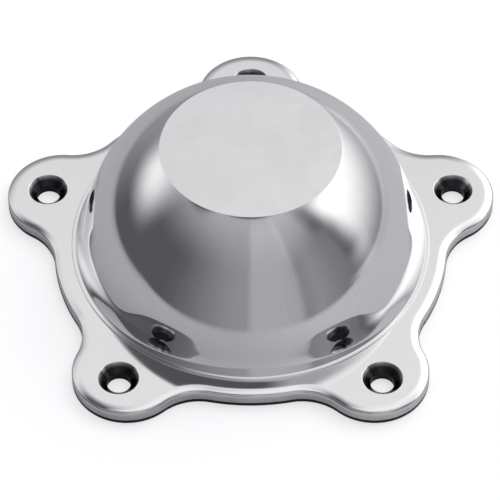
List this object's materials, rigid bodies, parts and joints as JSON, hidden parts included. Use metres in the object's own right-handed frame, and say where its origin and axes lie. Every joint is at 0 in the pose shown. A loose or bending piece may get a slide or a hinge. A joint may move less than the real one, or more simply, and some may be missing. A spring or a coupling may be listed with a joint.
{
  "type": "wheel center cap",
  "caption": "Hollow domed metal center cap with a flat face, a flared foot and a flange with countersunk screw ears, for covering a wheel's hub.",
  "frame": {"origin": "centre of the screw circle, on the flat mounting face", "axes": "+Z along the dome's axis, out of the wheel; +Y towards one of the ears; +X to its right, seen from outside the wheel"},
  "size_m": [0.1158, 0.1113, 0.0361],
  "materials": {
    "polished_metal": "polished, with a fine brushed grain on the flat face and a satin outer edge"
  },
  "bodies": {
    "root": {"center_cap": "polished_metal"}
  },
  "joints": []
}
